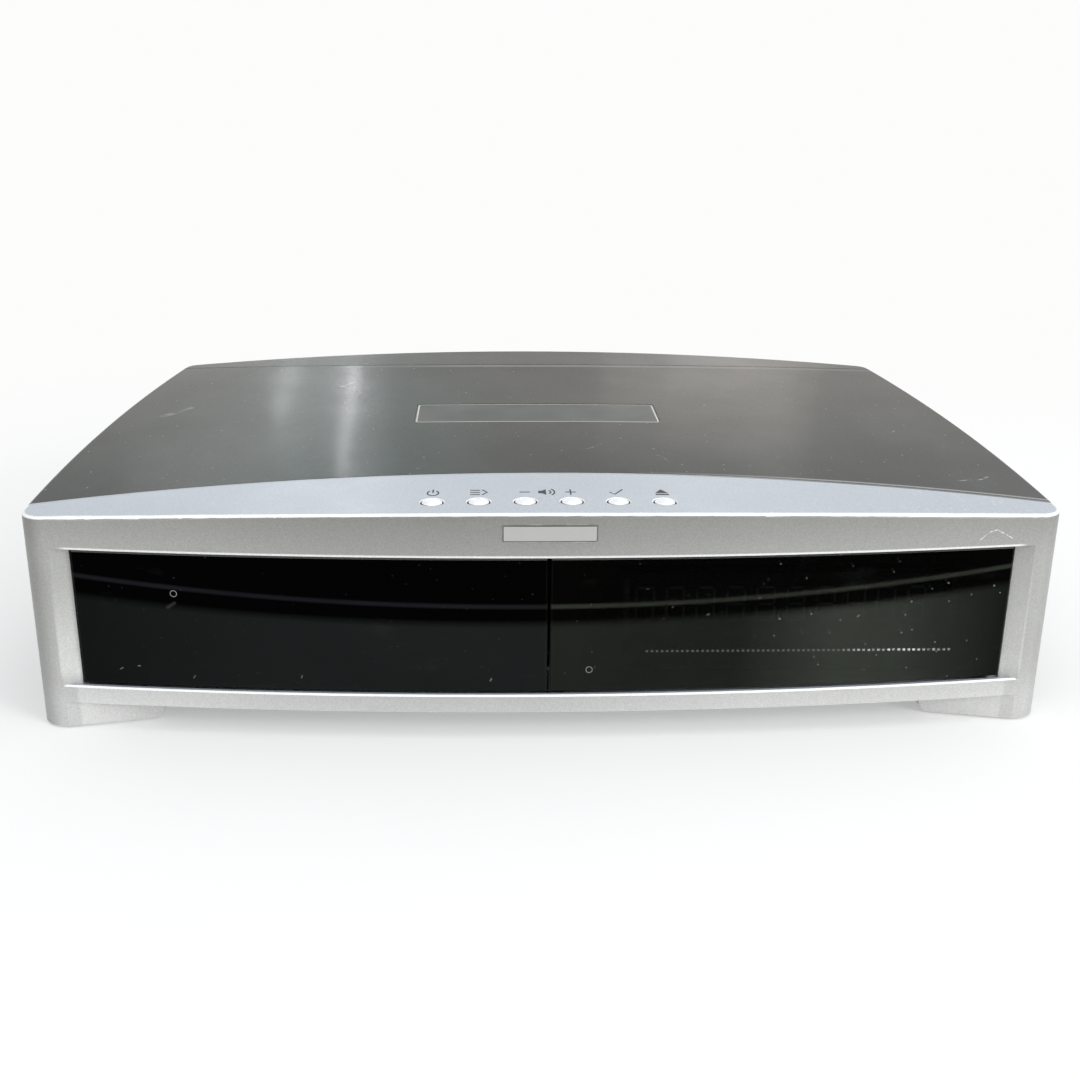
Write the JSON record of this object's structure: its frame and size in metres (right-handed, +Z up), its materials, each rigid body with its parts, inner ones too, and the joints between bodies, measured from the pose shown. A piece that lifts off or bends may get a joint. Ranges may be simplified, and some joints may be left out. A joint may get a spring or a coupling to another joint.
{
  "type": "home theater console with a disc tray",
  "caption": "Low media console with crowned deck, round push buttons, bowed graphite cover, display window and a folding door over a sliding disc tray.",
  "frame": {"origin": "on the standing surface, under the middle of the console's outline", "axes": "+X to the right, +Y to the back with the sockets, +Z up"},
  "size_m": [0.376, 0.2683, 0.0883],
  "materials": {
    "champagne_paint": "metallic champagne silver paint, satin",
    "satin_badge": "brushed plain plate",
    "graphite_paint": "metallic graphite paint, satin",
    "satin_plaque": "satin plain plaque",
    "zinc_steel": "zinc plated sheet",
    "black_paint": "fine texture black",
    "foot_rubber": "moulded rubber",
    "black_screw": "black oxide",
    "zinc_screw": "zinc plated",
    "gloss_black": "high gloss black",
    "pin_steel": "ground steel",
    "black_plastic": "moulded black",
    "smoked_window": "smoked gloss window",
    "green_board": "circuit board",
    "tray_plastic": "moulded dark grey",
    "white_plastic": "natural acetal",
    "belt_rubber": "square belt rubber",
    "motor_steel": "drawn motor can",
    "die_cast": "die cast",
    "lens_glass": "coated lens",
    "tube_glass": "dark display glass",
    "chip_plastic": "epoxy package",
    "black_aluminium": "black anodised",
    "capacitor_sleeve": "shrink sleeve",
    "nickel_socket": "nickel plated",
    "ribbon_plastic": "flat cable",
    "button_plastic": "pearl silver, satin gloss"
  },
  "bodies": {
    "console": {"front_bezel": "champagne_paint", "front_badge": "satin_badge", "top_cover": "graphite_paint", "top_plaque": "satin_plaque", "base_pan": "zinc_steel", "rear_panel": "black_paint", "front_pads": "foot_rubber", "rear_feet": "foot_rubber", "rear_screws": "black_screw", "loader_screws": "zinc_screw", "door_bracket": "black_plastic", "display_window": "smoked_window", "button_board": "green_board", "push_switches": "black_plastic", "pinion_shaft": "pin_steel", "drive_belt": "belt_rubber", "loading_motor": "motor_steel", "loader_frame": "black_plastic", "clamp_bridge": "zinc_steel", "disc_clamper": "white_plastic", "traverse_chassis": "zinc_steel", "traverse_grommets": "belt_rubber", "spindle_motor": "motor_steel", "guide_rods": "pin_steel", "sled_motor": "motor_steel", "display_tube": "tube_glass", "display_board": "green_board", "display_posts": "black_plastic", "remote_receiver": "black_plastic", "main_board": "green_board", "board_standoffs": "zinc_steel", "board_chips": "chip_plastic", "heat_sink": "black_aluminium", "capacitors": "capacitor_sleeve", "tuner_can": "zinc_steel", "aerial_socket": "nickel_socket", "jack_blocks": "black_plastic", "jack_sleeves": "nickel_socket", "video_socket": "black_plastic", "link_socket": "black_plastic", "optical_socket": "black_plastic", "power_socket": "black_plastic", "ribbon_headers": "white_plastic", "ribbon_cables": "ribbon_plastic"},
    "door": {"disc_door": "gloss_black", "door_pins": "pin_steel"},
    "tray": {"disc_tray": "tray_plastic"},
    "pinion": {"tray_pinion": "white_plastic"},
    "pulley": {"motor_pulley": "white_plastic"},
    "platter": {"turntable": "black_plastic"},
    "sled": {"pickup_sled": "die_cast", "objective_lens": "lens_glass"},
    "screw": {"lead_screw": "pin_steel"},
    "button_power": {"button_power": "button_plastic"},
    "button_source": {"button_source": "button_plastic"},
    "button_volume_down": {"button_volume_down": "button_plastic"},
    "button_volume_up": {"button_volume_up": "button_plastic"},
    "button_enter": {"button_enter": "button_plastic"},
    "button_eject": {"button_eject": "button_plastic"}
  },
  "joints": [
    {"name": "tray_slide", "type": "slide", "parent": "console", "child": "tray", "axis": [0, -1, 0], "range_m": [0, 0.165]},
    {"name": "door_fold", "type": "hinge", "parent": "console", "child": "door", "pos_m": [-0.08471, -0.12267, 0.0254], "axis": [0.9981, -0.0618, 0], "range_deg": [0, 90]},
    {"name": "pinion_spin", "type": "hinge", "parent": "console", "child": "pinion", "pos_m": [-0.15825, -0.085, 0.0646], "axis": [0, 0, -1], "range_deg": [0, 1181.73]},
    {"name": "pulley_spin", "type": "hinge", "parent": "console", "child": "pulley", "pos_m": [-0.15825, -0.049, 0.0588], "axis": [0, 0, -1], "range_deg": [0, 3038.73]},
    {"name": "platter_spin", "type": "hinge", "parent": "console", "child": "platter", "pos_m": [-0.085, -0.0265, 0.06], "axis": [0, 0, 1], "continuous": true},
    {"name": "sled_slide", "type": "slide", "parent": "console", "child": "sled", "axis": [0, 1, 0], "range_m": [0, 0.034]},
    {"name": "screw_spin", "type": "hinge", "parent": "console", "child": "screw", "pos_m": [-0.059, -0.0025, 0.052], "axis": [0, 1, 0], "range_deg": [0, 6120.01]},
    {"name": "button_power_press", "type": "slide", "parent": "console", "child": "button_power", "axis": [0, 0, -1], "range_m": [0, 0.0008], "stiffness_N_per_m": 400},
    {"name": "button_source_press", "type": "slide", "parent": "console", "child": "button_source", "axis": [0, 0, -1], "range_m": [0, 0.0008], "stiffness_N_per_m": 400},
    {"name": "button_volume_down_press", "type": "slide", "parent": "console", "child": "button_volume_down", "axis": [0, 0, -1], "range_m": [0, 0.0008], "stiffness_N_per_m": 400},
    {"name": "button_volume_up_press", "type": "slide", "parent": "console", "child": "button_volume_up", "axis": [0, 0, -1], "range_m": [0, 0.0008], "stiffness_N_per_m": 400},
    {"name": "button_enter_press", "type": "slide", "parent": "console", "child": "button_enter", "axis": [0, 0, -1], "range_m": [0, 0.0008], "stiffness_N_per_m": 400},
    {"name": "button_eject_press", "type": "slide", "parent": "console", "child": "button_eject", "axis": [0, 0, -1], "range_m": [0, 0.0008], "stiffness_N_per_m": 400}
  ],
  "couplings": [
    {"joint": "door_fold", "follows": "tray_slide", "rad_per_m": 9.52},
    {"joint": "pinion_spin", "follows": "tray_slide", "rad_per_m": 125},
    {"joint": "pulley_spin", "follows": "tray_slide", "rad_per_m": 321.43},
    {"joint": "screw_spin", "follows": "sled_slide", "rad_per_m": 3141.6}
  ]
}
